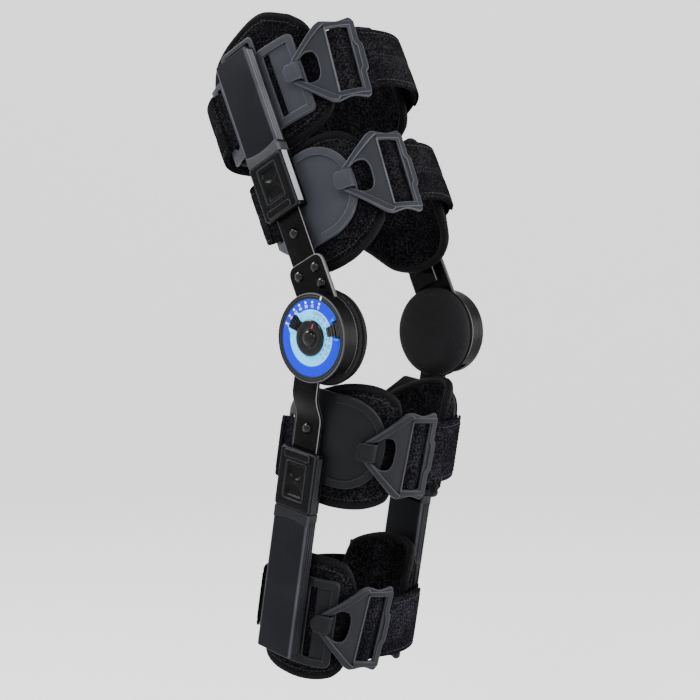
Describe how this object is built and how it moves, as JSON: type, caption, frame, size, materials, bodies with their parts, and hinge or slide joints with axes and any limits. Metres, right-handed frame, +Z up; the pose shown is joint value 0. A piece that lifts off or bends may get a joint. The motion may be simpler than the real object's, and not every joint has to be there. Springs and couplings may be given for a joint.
{
  "type": "hinged knee brace",
  "caption": "Hinged knee brace with sliding side bars, a range-of-motion dial at the knee, padded shells and velour straps with hooked buckles; open for the leg.",
  "frame": {"origin": "centre of the knee, on the hinge axis midway between the two hinges", "axes": "+X forward, +Y towards the inner side of the right leg, +Z up"},
  "size_m": [0.2239, 0.1848, 0.5364],
  "materials": {
    "sleeve_plastic": "matt charcoal moulded plastic",
    "collar_plastic": "semi-gloss black moulded plastic",
    "case_plastic": "satin black casing",
    "black_bar": "gloss black coated aluminium",
    "black_rivet": "black domed rivet",
    "shell_plastic": "satin dark grey moulded plastic",
    "buckle_plastic": "satin dark grey moulded plastic",
    "velour_foam": "black velour over foam with bound edge",
    "condyle_foam": "black foam pad",
    "strap_velour": "black loop velour strap",
    "blue_dial": "bright blue dial with white scale",
    "pale_blue_dial": "pale blue dial with red scale"
  },
  "bodies": {
    "thigh": {"outer_thigh_bar": "black_bar", "inner_thigh_bar": "black_bar", "thigh_bar_rivet": "black_rivet", "outer_thigh_inner_pad": "velour_foam", "outer_thigh_inner_shell": "shell_plastic", "inner_thigh_inner_pad": "velour_foam", "inner_thigh_inner_shell": "shell_plastic", "thigh_inner_buckle": "buckle_plastic", "thigh_inner_strap": "strap_velour", "outer_hinge_case": "case_plastic", "outer_hinge_hub": "black_rivet", "outer_condyle_pad": "condyle_foam", "inner_hinge_case": "case_plastic", "inner_hinge_hub": "black_rivet", "inner_condyle_pad": "condyle_foam", "tongue_rivet_rear": "black_rivet", "tongue_rivet_front": "black_rivet", "tongue_rivet_low": "black_rivet", "inner_hinge_cap": "case_plastic"},
    "calf": {"outer_calf_bar": "black_bar", "inner_calf_bar": "black_bar", "calf_bar_rivet": "black_rivet", "outer_calf_inner_pad": "velour_foam", "outer_calf_inner_shell": "shell_plastic", "inner_calf_inner_pad": "velour_foam", "inner_calf_inner_shell": "shell_plastic", "calf_inner_buckle": "buckle_plastic", "calf_inner_strap": "strap_velour"},
    "thigh_end": {"outer_thigh_sleeve": "sleeve_plastic", "outer_thigh_collar": "collar_plastic", "inner_thigh_sleeve": "sleeve_plastic", "inner_thigh_collar": "collar_plastic", "outer_thigh_end_pad": "velour_foam", "outer_thigh_end_shell": "shell_plastic", "inner_thigh_end_pad": "velour_foam", "inner_thigh_end_shell": "shell_plastic", "thigh_end_buckle": "buckle_plastic", "thigh_end_strap": "strap_velour"},
    "calf_end": {"outer_calf_sleeve": "sleeve_plastic", "outer_calf_collar": "collar_plastic", "inner_calf_sleeve": "sleeve_plastic", "inner_calf_collar": "collar_plastic", "outer_calf_end_pad": "velour_foam", "outer_calf_end_shell": "shell_plastic", "inner_calf_end_pad": "velour_foam", "inner_calf_end_shell": "shell_plastic", "calf_end_buckle": "buckle_plastic", "calf_end_strap": "strap_velour"},
    "extension_stop": {"extension_dial": "blue_dial", "extension_tab": "collar_plastic"},
    "flexion_stop": {"flexion_dial": "pale_blue_dial", "flexion_tab": "collar_plastic"},
    "thigh_push": {"thigh_button": "collar_plastic"},
    "calf_push": {"calf_button": "collar_plastic"}
  },
  "joints": [
    {"name": "knee_flexion", "type": "hinge", "parent": "thigh", "child": "calf", "pos_m": [0, 0, 0], "axis": [0, 1, 0], "range_deg": [-35.2, 84.8]},
    {"name": "thigh_length", "type": "slide", "parent": "thigh", "child": "thigh_end", "axis": [-0.4226, 0, 0.9063], "range_m": [0, 0.06]},
    {"name": "calf_length", "type": "slide", "parent": "calf", "child": "calf_end", "axis": [-0.1771, 0, -0.9842], "range_m": [0, 0.06]},
    {"name": "extension_turn", "type": "hinge", "parent": "thigh", "child": "extension_stop", "pos_m": [0, -0.0843, 0], "axis": [0, 1, 0], "range_deg": [0, 90]},
    {"name": "flexion_turn", "type": "hinge", "parent": "thigh", "child": "flexion_stop", "pos_m": [0, -0.0843, 0], "axis": [0, 1, 0], "range_deg": [-120, 0]},
    {"name": "thigh_button_press", "type": "slide", "parent": "thigh_end", "child": "thigh_push", "axis": [0, 1, 0], "range_m": [0, 0.0018], "stiffness_N_per_m": 600},
    {"name": "calf_button_press", "type": "slide", "parent": "calf_end", "child": "calf_push", "axis": [0, 1, 0], "range_m": [0, 0.0018], "stiffness_N_per_m": 600}
  ]
}
